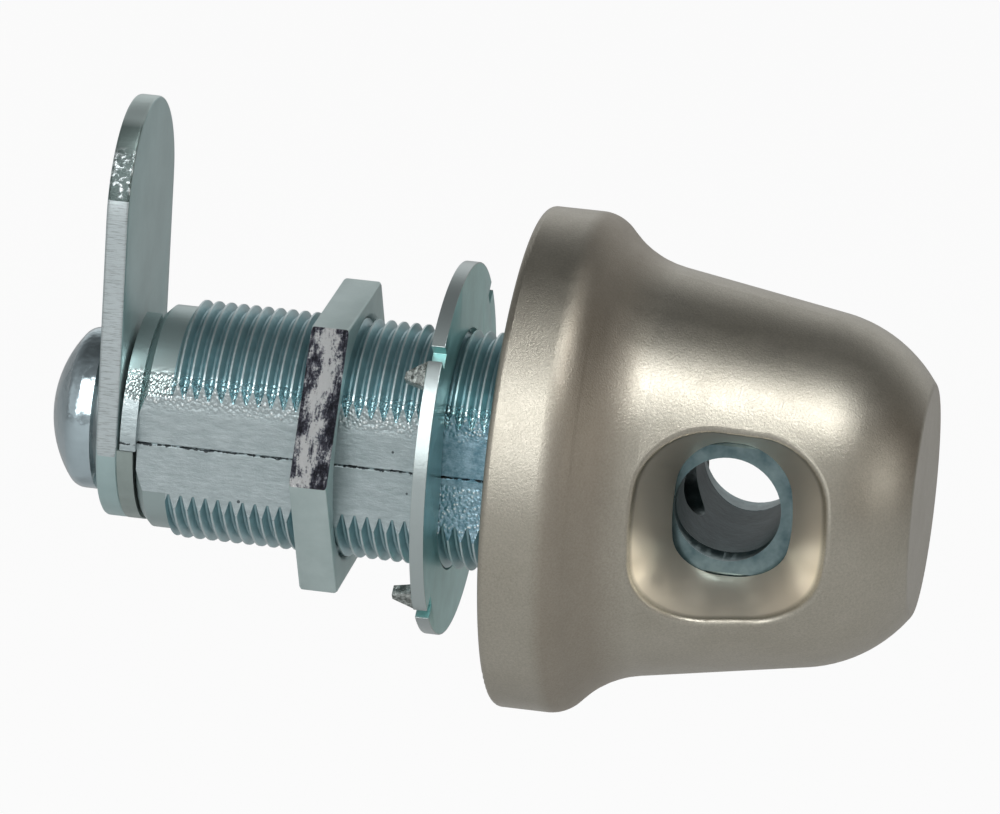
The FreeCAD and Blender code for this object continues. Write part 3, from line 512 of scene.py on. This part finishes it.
class Finish(Shading):
    """A material whose patterns are fixed to the piece. Their sizes are in millimetres."""

    def __init__(self, name):
        self.material = bpy.data.materials.new(name)
        self.material.use_nodes = True
        super().__init__(self.material.node_tree, "Object")
        self.shader = self.tree.nodes["Principled BSDF"]
        self.relief = None

    def surface(self, color, metallic, roughness):
        """Gives the shader its colour, metallic share and roughness, each plain or from nodes."""
        for name, value in (("Base Color", color), ("Metallic", metallic), ("Roughness", roughness)):
            self.feed(self.shader.inputs[name], value)

    def mix_shaders(self, factor, first, second):
        return self.add("MixShader", {"Fac": factor, 1: first, 2: second}).outputs["Shader"]

    def bump(self, height, distance, strength=1.0):
        """Adds a relief over the ones before it."""
        inputs = {"Strength": strength, "Distance": distance * MM, "Height": height}
        if self.relief is not None:
            inputs["Normal"] = self.relief
        self.relief = self.add("Bump", inputs).outputs["Normal"]
        self.feed(self.shader.inputs["Normal"], self.relief)

    def noise(self, size, detail=3.0, roughness=0.55, stretch=None):
        """Soft patches of a size, as a value from 0 to 1. Stretch below 1 lengthens them along an axis."""
        place = self.place
        if stretch:
            place = self.add("Mapping", {"Vector": place, "Scale": stretch}).outputs["Vector"]
        inputs = {"Vector": place, "Scale": 1.0 / (size * MM), "Detail": detail, "Roughness": roughness}
        return self.add("TexNoise", inputs).outputs["Fac"]

    def spots(self, size):
        """Distance from the nearest of many scattered points, as a share of their spacing."""
        inputs = {"Vector": self.place, "Scale": 1.0 / (size * MM)}
        return self.add("TexVoronoi", inputs).outputs["Distance"]

    def reach(self, axis, center=(0, 0, 0)):
        """Distance from a line that runs along one axis through a point."""
        place = self.place
        across = tuple(0 if name == axis else 1 for name in "XYZ")
        for operation, value in (("SUBTRACT", Vector(center) * MM), ("MULTIPLY", across)):
            place = self.add("VectorMath", {0: place, 1: value}, operation=operation).outputs["Vector"]
        return self.add("VectorMath", {0: place}, operation="LENGTH").outputs["Value"]


def bell_nickel():
    """Blasted satin nickel, a warm grey with a fine grain.

    Its windows and bore are smoother, with painted light that lightens their colour, and the hollow behind
    the rim is rougher, with painted shade that darkens it.
    """
    finish = Finish("bell_nickel")
    along = finish.range(finish.axis("X"), 0.0, BELL_END * MM)
    skin_stops = [(place / BELL_END, radius / BELL_RADIUS) for place, radius in BELL_SKIN]
    minus_reach = finish.math("MULTIPLY", finish.reach("X"), -1.0)
    depth = finish.math("MULTIPLY_ADD", finish.ramp(along, skin_stops), BELL_RADIUS * MM, minus_reach)
    behind_nose = finish.under(finish.axis("X"), NOSE_FACE)
    inside = finish.both(finish.fade(depth, WINDOW_START, WINDOW_FULL), behind_nose)
    hollow = finish.ramp(along, [(place / BELL_END, share) for place, share in BELL_HOLLOW])

    cloud = finish.tones(finish.noise(7.0, 3, 0.6), (0.465, 0.44, 0.37), (0.515, 0.49, 0.42))
    grain = finish.noise(0.17, 2, 0.8)
    skin = finish.mix(1.0, cloud, finish.tones(grain, 0.78, 1.0), "MULTIPLY")
    # Painted shade: the hollow behind the rim is darkened to a dim warm brown
    skin = finish.mix(hollow, skin, (0.25, 0.205, 0.16))
    # Painted light: the windows and bore get a lighter colour in place of light reaching into them
    color = finish.mix(inside, skin, (0.82, 0.765, 0.66))
    metallic = finish.range(inside, 0.0, 1.0, 1.0, 0.85)
    satin = finish.range(finish.noise(1.5, 3, 0.6), 0.3, 0.7, 0.34, 0.39)
    satin = finish.math("MULTIPLY_ADD", inside, -0.05, satin)
    finish.surface(color, metallic, finish.math("MULTIPLY_ADD", hollow, 0.25, satin))
    finish.bump(finish.both(grain, finish.math("SUBTRACT", 1.0, inside)), 0.022)
    return finish.material


def plated(name, color, roughness, grain, depth, metallic=1.0, wave=0.0):
    """Zinc plating: a cool grey with a faint cloud and a fine grain, and a slow wave where one is given."""
    finish = Finish(name)
    darker = tuple(value * 0.82 for value in color)
    cloud = finish.tones(finish.noise(2.5, 4, 0.6), darker, color)
    varied = finish.range(finish.noise(0.8, 3, 0.6), 0.3, 0.7, roughness * 0.8, roughness * 1.2)
    finish.surface(cloud, metallic, varied)
    if wave:
        finish.bump(finish.noise(1.6, 2, 0.5), wave)
    finish.bump(finish.noise(grain, 3, 0.6), depth)
    return finish.material


def spindle_steel():
    """Plated steel. The wall of the shackle hole has painted shade, a dark colour in place of the shade
    inside the hole.
    """
    finish = Finish("spindle_steel")
    hole = finish.under(finish.reach("Y", (SHACKLE_PLACE, 0, 0)), SHACKLE_RADIUS + FINISH_LAP)
    # Painted shade: the hole's wall is coloured dark teal in place of the shade inside the hole
    wall = finish.tones(finish.noise(1.6, 3, 0.6), (0.05, 0.085, 0.095), (0.09, 0.14, 0.15))
    color = finish.mix(hole, (0.28, 0.33, 0.335), wall)
    finish.surface(color, finish.range(hole, 0, 1, 1.0, 0.4), finish.range(hole, 0, 1, 0.3, 0.5))
    finish.bump(finish.noise(0.5, 3, 0.6), 0.03)
    return finish.material


def flats_and_seam(finish):
    """Masks of the flats with their grooves, and of the seam, which wanders and varies in width."""
    beside = finish.absolute(finish.axis("Y"))
    behind_head = finish.under(finish.axis("X"), 0.0)
    wander = finish.noise(1.8, 2, 0.5)
    wander = finish.math("MULTIPLY_ADD", wander, 2 * SEAM_WANDER * MM, -SEAM_WANDER * MM)
    from_seam = finish.absolute(finish.math("ADD", finish.axis("Z"), wander))
    groove = finish.both(finish.over(beside, FLAT - SEAM_ZONE_DEPTH), behind_head)
    groove = finish.both(groove, finish.under(from_seam, SEAM_ZONE_HALF))
    flat = finish.both(finish.over(beside, FLAT - FINISH_LAP), behind_head)
    width = finish.range(finish.noise(0.6, 3, 0.7), 0.38, 0.65, 0.0, SEAM_LINE_HALF * MM)
    seam = finish.both(finish.math("LESS_THAN", from_seam, width), groove)
    return finish.either(flat, groove), seam


def barrel_round_color(finish):
    """The blue-grey thread with painted shade in its roots and painted highlight on its crests, the greyer
    collar, and the front in the knob darkened by painted shade.
    """
    root_shade_to_crest_light = finish.fade(finish.reach("X"), THREAD_RADIUS - THREAD_DEPTH, THREAD_RADIUS)
    # Painted shade and highlight: the thread is darker towards its roots and lightest on its crests
    thread = finish.ramp(root_shade_to_crest_light, [
        (0.0, (0.29, 0.45, 0.485)), (0.8, (0.41, 0.585, 0.62)),
        (0.93, (0.45, 0.62, 0.65)), (0.99, (0.62, 0.74, 0.76))])
    cloud = finish.tones(finish.noise(1.6, 4, 0.65), 0.8, 1.0)
    thread = finish.mix(1.0, thread, cloud, "MULTIPLY")
    color = finish.mix(finish.under(finish.axis("X"), COLLAR_START), thread, (0.42, 0.52, 0.52))
    # Painted shade: the barrel's front inside the knob is darkened
    painted_shade_front = finish.tones(finish.noise(2.0, 3, 0.6), (0.10, 0.16, 0.175), (0.22, 0.30, 0.31), 0.35, 0.65)
    return finish.mix(finish.over(finish.axis("X"), 0.0), color, painted_shade_front)


def barrel_flat_color(finish, scratches, by_head):
    """The scratched grey of the flats, with a few pits, and a bluer stretch next to the head."""
    skin = finish.tones(scratches, (0.36, 0.43, 0.445), (0.52, 0.60, 0.615))
    pits = finish.math("LESS_THAN", finish.spots(2.4), 0.055)
    skin = finish.mix(pits, skin, (0.10, 0.12, 0.13))
    blue = finish.tones(finish.noise(0.7, 4, 0.7), (0.17, 0.32, 0.40), (0.42, 0.60, 0.70), 0.35, 0.65)
    return finish.mix(by_head, skin, blue)


def burr_and_glint_places(finish, flat, by_head):
    """Where burrs with painted glints stand: in a band along the flats' upper edges, where the lamp's
    highlight falls, and low on the flats next to the head.
    """
    high = finish.axis("Z")
    band = finish.fade(high, BURR_GLINT_LOW, BURR_GLINT_HIGH)
    band = finish.ramp(band, [(0.0, 0.0), (0.3, 1.0), (0.65, 1.0), (1.0, 0.0)])
    upper = finish.both(band, finish.over(finish.absolute(finish.axis("Y")), BURR_GLINT_BESIDE))
    lower = finish.both(finish.both(by_head, flat), finish.under(high, -SEAM_ZONE_HALF))
    return finish.both(finish.either(upper, lower), finish.under(finish.axis("X"), 0.0))


def barrel_zinc():
    """Die-cast zinc: a blue-grey thread, and matt flats with a dark parting seam and burrs with painted
    glints.
    """
    finish = Finish("barrel_zinc")
    flat, seam = flats_and_seam(finish)
    by_head = finish.over(finish.axis("X"), BLUE_START)
    scratches = finish.noise(0.5, 5, 0.75, stretch=(0.3, 1, 1))
    burr_spots = finish.spots(0.3)
    burrs_and_glints = burr_and_glint_places(finish, flat, by_head)

    color = finish.mix(flat, barrel_round_color(finish), barrel_flat_color(finish, scratches, by_head))
    color = finish.mix(seam, color, (0.05, 0.06, 0.065))
    # Painted glints: the burrs in their band are coloured near white, where the lamp's highlight falls
    painted_glints = finish.both(finish.range(burr_spots, 0.36, 0.22), burrs_and_glints)
    painted_glints = finish.both(painted_glints, finish.range(finish.noise(0.9, 2, 0.5), 0.42, 0.55))
    color = finish.mix(painted_glints, color, (0.93, 0.98, 0.98))
    matt = finish.range(flat, 0, 1, 0.33, 0.46)
    finish.surface(color, 0.9, finish.math("MULTIPLY_ADD", burrs_and_glints, -0.16, matt))

    finish.bump(finish.both(scratches, flat), 0.07, 0.9)
    finish.bump(finish.both(burr_spots, finish.math("MULTIPLY", burrs_and_glints, -1.0)), 0.075)
    finish.bump(finish.noise(0.4, 3, 0.6), 0.02, 0.8)
    finish.bump(seam, 0.04, 0.8)
    return finish.material


def nut_painted_reflection(finish):
    """How light the painted reflection is: streaks, patches and flecks, with one light streak down the cut
    side.
    """
    streaks = finish.math("MULTIPLY", finish.noise(0.42, 5, 0.7, stretch=(1, 0.28, 0.28)), 0.55)
    patches = finish.math("MULTIPLY", finish.noise(1.6, 2, 0.5), 0.15)
    blots_and_reflection = finish.math("ADD", streaks, patches)
    blots_and_reflection = finish.math("MULTIPLY_ADD", finish.noise(0.2, 4, 0.8), 0.3, blots_and_reflection)
    sway = finish.math(
        "MULTIPLY_ADD", finish.noise(2.6, 3, 0.6), 2 * NUT_STREAK_SWAY * MM, -NUT_STREAK_SWAY * MM)
    slant = finish.math("MULTIPLY_ADD", finish.axis("Z"), NUT_STREAK_SLANT, sway)
    aside = finish.math("SUBTRACT", finish.axis("X"), NUT_STREAK * MM)
    aside = finish.absolute(finish.math("ADD", aside, slant))
    streak = finish.range(aside, NUT_STREAK_CORE * MM, NUT_STREAK_HALF * MM, 0.065, -0.045)
    return finish.math("ADD", blots_and_reflection, streak)


def nut_zinc():
    """Matt plated steel. The two sides that were cut from the bar are glossy, with a painted dark and white
    reflection.
    """
    finish = Finish("nut_zinc")
    turn = math.radians(NUT_TURN)
    from_axis = finish.math("MULTIPLY", finish.axis("Y"), -math.cos(turn))
    from_axis = finish.absolute(finish.math("MULTIPLY_ADD", finish.axis("Z"), math.sin(turn), from_axis))
    cut = finish.over(from_axis, NUT_CUT_SIDE)
    matt = finish.tones(finish.noise(2.5, 4, 0.6), (0.45, 0.56, 0.555), (0.53, 0.64, 0.635))
    blots_and_reflection = nut_painted_reflection(finish)
    # Painted reflection: the cut sides get near black to white blots in place of what they mirror
    painted_reflection_tones = finish.ramp(blots_and_reflection, [
        (0.4, (0.02, 0.02, 0.03)), (0.47, (0.09, 0.09, 0.12)), (0.5, (0.28, 0.29, 0.34)),
        (0.525, (0.62, 0.63, 0.65)), (0.55, (0.96, 0.97, 0.98))])
    metallic = finish.range(cut, 0, 1, 0.7, 0.4)
    finish.surface(finish.mix(cut, matt, painted_reflection_tones), metallic, finish.range(cut, 0, 1, 0.42, 0.14))
    finish.bump(finish.both(blots_and_reflection, cut), 1.2)
    finish.bump(finish.noise(0.3, 3, 0.6), 0.012)
    return finish.material


def washer_steel():
    """Plated sheet steel, greyer on its edge, with rough dark teeth where it was cut and bent."""
    finish = Finish("washer_steel")
    tooth = finish.under(finish.axis("X"), WASHER_TEETH)
    sheet = finish.tones(finish.noise(2.5, 4, 0.6), (0.31, 0.55, 0.54), (0.39, 0.66, 0.65))
    sheet = finish.mix(finish.over(finish.reach("X"), WASHER_EDGE), sheet, (0.46, 0.53, 0.53))
    torn = finish.tones(finish.noise(0.45, 3, 0.7), (0.12, 0.14, 0.13), (0.55, 0.60, 0.58), 0.4, 0.62)
    finish.surface(finish.mix(tooth, sheet, torn), 0.85, finish.range(tooth, 0, 1, 0.3, 0.34))
    finish.bump(finish.both(finish.noise(0.5, 3, 0.7), tooth), 0.25)
    finish.bump(finish.noise(0.3, 3, 0.6), 0.01)
    return finish.material


def cam_steel():
    """Plated steel strip: a smooth face, sheared edges with fine marks across them, and a torn tip.

    The torn edge has white flecks on dark, then turns plain dark, and is smooth and light on top.
    """
    finish = Finish("cam_steel")
    high = finish.axis("Z")
    round_edge = finish.over(finish.reach("X", (0, 0, CAM_TIP_CENTER)), CAM_TIP_RADIUS)
    round_edge = finish.both(round_edge, finish.over(high, CAM_TIP_START))
    edge = finish.either(finish.over(finish.absolute(finish.axis("Y")), CAM_SIDE), round_edge)
    tip = finish.both(round_edge, finish.over(high, CAM_TORN_START))

    face = finish.tones(finish.noise(3.0, 4, 0.6), (0.41, 0.55, 0.555), (0.47, 0.62, 0.625))
    marks = finish.noise(0.5, 4, 0.7, stretch=(0.4, 1, 5))
    sheared = finish.tones(marks, (0.36, 0.41, 0.42), (0.56, 0.63, 0.645), 0.36, 0.5)
    flecks = finish.noise(0.5, 4, 0.7)
    torn = finish.tones(flecks, (0.12, 0.16, 0.155), (0.85, 0.92, 0.94), 0.5, 0.6)
    torn = finish.mix(finish.fade(high, CAM_FLECKS_FADE, CAM_FLECKS_END), torn, (0.20, 0.26, 0.25))
    torn = finish.mix(finish.fade(high, CAM_TORN_FADE, CAM_TORN_END), torn, (0.58, 0.69, 0.68))
    ragged = finish.both(tip, finish.fade(high, CAM_FLECKS_END, CAM_FLECKS_FADE))
    color = finish.mix(tip, finish.mix(edge, face, sheared), torn)
    finish.surface(color, 0.8, finish.range(ragged, 0, 1, 0.38, 0.22))

    finish.bump(finish.both(marks, edge), 0.03, 0.8)
    finish.bump(finish.both(flecks, ragged), 0.12)
    finish.bump(finish.noise(0.25, 3, 0.6), 0.008)
    return finish.material


def seal_rubber():
    finish = Finish("seal_rubber")
    finish.surface((0.02, 0.02, 0.02), 0.0, 0.55)
    finish.bump(finish.noise(0.2, 2), 0.01)
    return finish.material


def put_in_place(name, data, place, right, up, back):
    """Adds a camera or a lamp at a place in metres, turned so that it looks away from its back."""
    thing = bpy.data.objects.new(name, data)
    bpy.context.scene.collection.objects.link(thing)
    turn = Matrix((right, up, back)).transposed()
    thing.matrix_world = Matrix.Translation(place) @ turn.to_4x4()
    return thing


def make_camera():
    """The camera of the photograph. It turns round the latch, and its aim is moved to the right and up."""
    azimuth, elevation, roll = (
        math.radians(angle) for angle in (CAMERA_AZIMUTH, CAMERA_ELEVATION, CAMERA_ROLL))
    back = Vector((
        math.sin(azimuth) * math.cos(elevation),
        -math.cos(azimuth) * math.cos(elevation),
        math.sin(elevation)))
    right = Vector((math.cos(azimuth), math.sin(azimuth), 0))
    up = back.cross(right)
    target = right * CAMERA_RIGHT + up * CAMERA_UP + Vector((CAMERA_ALONG, 0, 0))
    place = target + back * CAMERA_DISTANCE
    turned_right = right * math.cos(roll) + up * math.sin(roll)
    turned_up = up * math.cos(roll) - right * math.sin(roll)
    data = bpy.data.cameras.new("camera")
    data.sensor_width = SENSOR_WIDTH
    data.lens = CAMERA_FOCAL * SENSOR_WIDTH / PICTURE_WIDTH
    data.clip_start = CAMERA_NEAR
    data.clip_end = CAMERA_FAR
    bpy.context.scene.camera = put_in_place("camera", data, place * MM, turned_right, turned_up, back)


def add_lamp(name, side, height, width, length, power):
    """A soft lamp one metre away, turned to the latch. Its width runs to the right."""
    side, height = math.radians(side), math.radians(height)
    back = Vector((
        math.sin(side), -math.cos(side) * math.cos(height), math.cos(side) * math.sin(height)))
    across = Vector((
        math.cos(side), math.sin(side) * math.cos(height), -math.sin(side) * math.sin(height)))
    data = bpy.data.lights.new(name, "AREA")
    data.shape = "RECTANGLE"
    data.size = width
    data.size_y = length
    data.energy = power
    put_in_place(name, data, back, across, back.cross(across), back)


def background_share(shading, mirrored_share):
    """1 where a ray shows the background itself or through glass, and a share where metal mirrors it."""
    path = shading.add("LightPath").outputs
    mirrored = shading.math("MULTIPLY", path["Is Glossy Ray"], mirrored_share)
    direct = shading.either(path["Is Camera Ray"], path["Is Transmission Ray"])
    return shading.either(direct, mirrored)


def make_world():
    """White background. Round it the studio is dim overhead and mid grey on the camera's side."""
    world = bpy.data.worlds.new("studio")
    bpy.context.scene.world = world
    world.use_nodes = True
    shading = Shading(world.node_tree, "Generated")
    right, depth, height = (shading.range(shading.axis(name), -1, 1) for name in "XYZ")

    # The room gets darker upwards and away from the camera, and warm past the knob
    room = shading.ramp(height, [
        (0.0, 0.6), (0.5, 0.68), (0.65, 0.6), (0.8, 0.4), (0.92, 0.24), (1.0, 0.19)])
    room = shading.math("MULTIPLY", room, shading.ramp(depth, [(0.4, 1.0), (0.65, 0.42)]))
    past_knob = shading.ramp(right, [(0.76, 0.0), (0.95, 1.0)])
    room = shading.mix(past_knob, room, (0.46, 0.39, 0.33), "MULTIPLY")

    # Metal mirrors the white wall behind the latch, most of it above the floor's far edge
    wall = shading.ramp(depth, [(0.84, 0.0), (0.96, 1.0)])
    share = shading.ramp(height, [(0.45, 0.24), (0.6, 0.75), (0.75, 0.75), (0.87, 0.0)])
    white = background_share(shading, shading.math("MULTIPLY", wall, share))
    background = shading.tree.nodes["Background"]
    shading.feed(background.inputs["Color"], shading.mix(white, room, (1, 1, 1)))


def make_floor():
    """A pale floor. It shows as the white background, with a part of its own shade and shadow.

    From below it is clear, so that the latch's underside can be seen.
    """
    deselect()
    bpy.ops.mesh.primitive_plane_add(size=FLOOR_SIZE, location=(0, 0, FLOOR_HEIGHT))
    floor = bpy.context.object
    floor.name = "floor"
    finish = Finish("floor_white")
    finish.surface((0.8, 0.8, 0.8), 0.0, 0.9)
    behind_latch = finish.ramp(finish.axis("Y"), [(0.25, 0.0), (0.5, 0.14)])
    white = finish.math("MULTIPLY", background_share(finish, behind_latch), FLOOR_WHITE)
    glow = finish.add("Emission").outputs["Emission"]
    pale = finish.mix_shaders(white, finish.shader.outputs["BSDF"], glow)
    clear = finish.add("BsdfTransparent").outputs["BSDF"]
    from_below = finish.add("NewGeometry").outputs["Backfacing"]
    shown = finish.mix_shaders(from_below, pale, clear)
    finish.feed(finish.tree.nodes["Material Output"].inputs["Surface"], shown)
    floor.data.materials.append(finish.material)


finishes = {
    "bell_nickel": bell_nickel(),
    "barrel_zinc": barrel_zinc(),
    "nut_zinc": nut_zinc(),
    "washer_steel": washer_steel(),
    "cam_steel": cam_steel(),
    "screw_steel": plated("screw_steel", (0.54, 0.66, 0.71), 0.17, grain=0.35, depth=0.01, wave=0.14),
    "spindle_steel": spindle_steel(),
    "spring_steel": plated("spring_steel", (0.36, 0.40, 0.41), 0.38, grain=0.3, depth=0.01),
    "stop_steel": plated("stop_steel", (0.40, 0.48, 0.46), 0.37, grain=0.3, depth=0.02, metallic=0.85),
    "seal_rubber": seal_rubber(),
}
for node, finish_name in NODE_FINISHES.items():
    for material_slot in nodes[node].material_slots:
        material_slot.material = finishes[finish_name]

make_barrel()
for part_values in SOFTENED_PARTS:
    soften_edges(*part_values)

make_camera()
make_world()
make_floor()
for lamp_values in LAMPS:
    add_lamp(*lamp_values)
bpy.context.scene.view_settings.view_transform = "Standard"
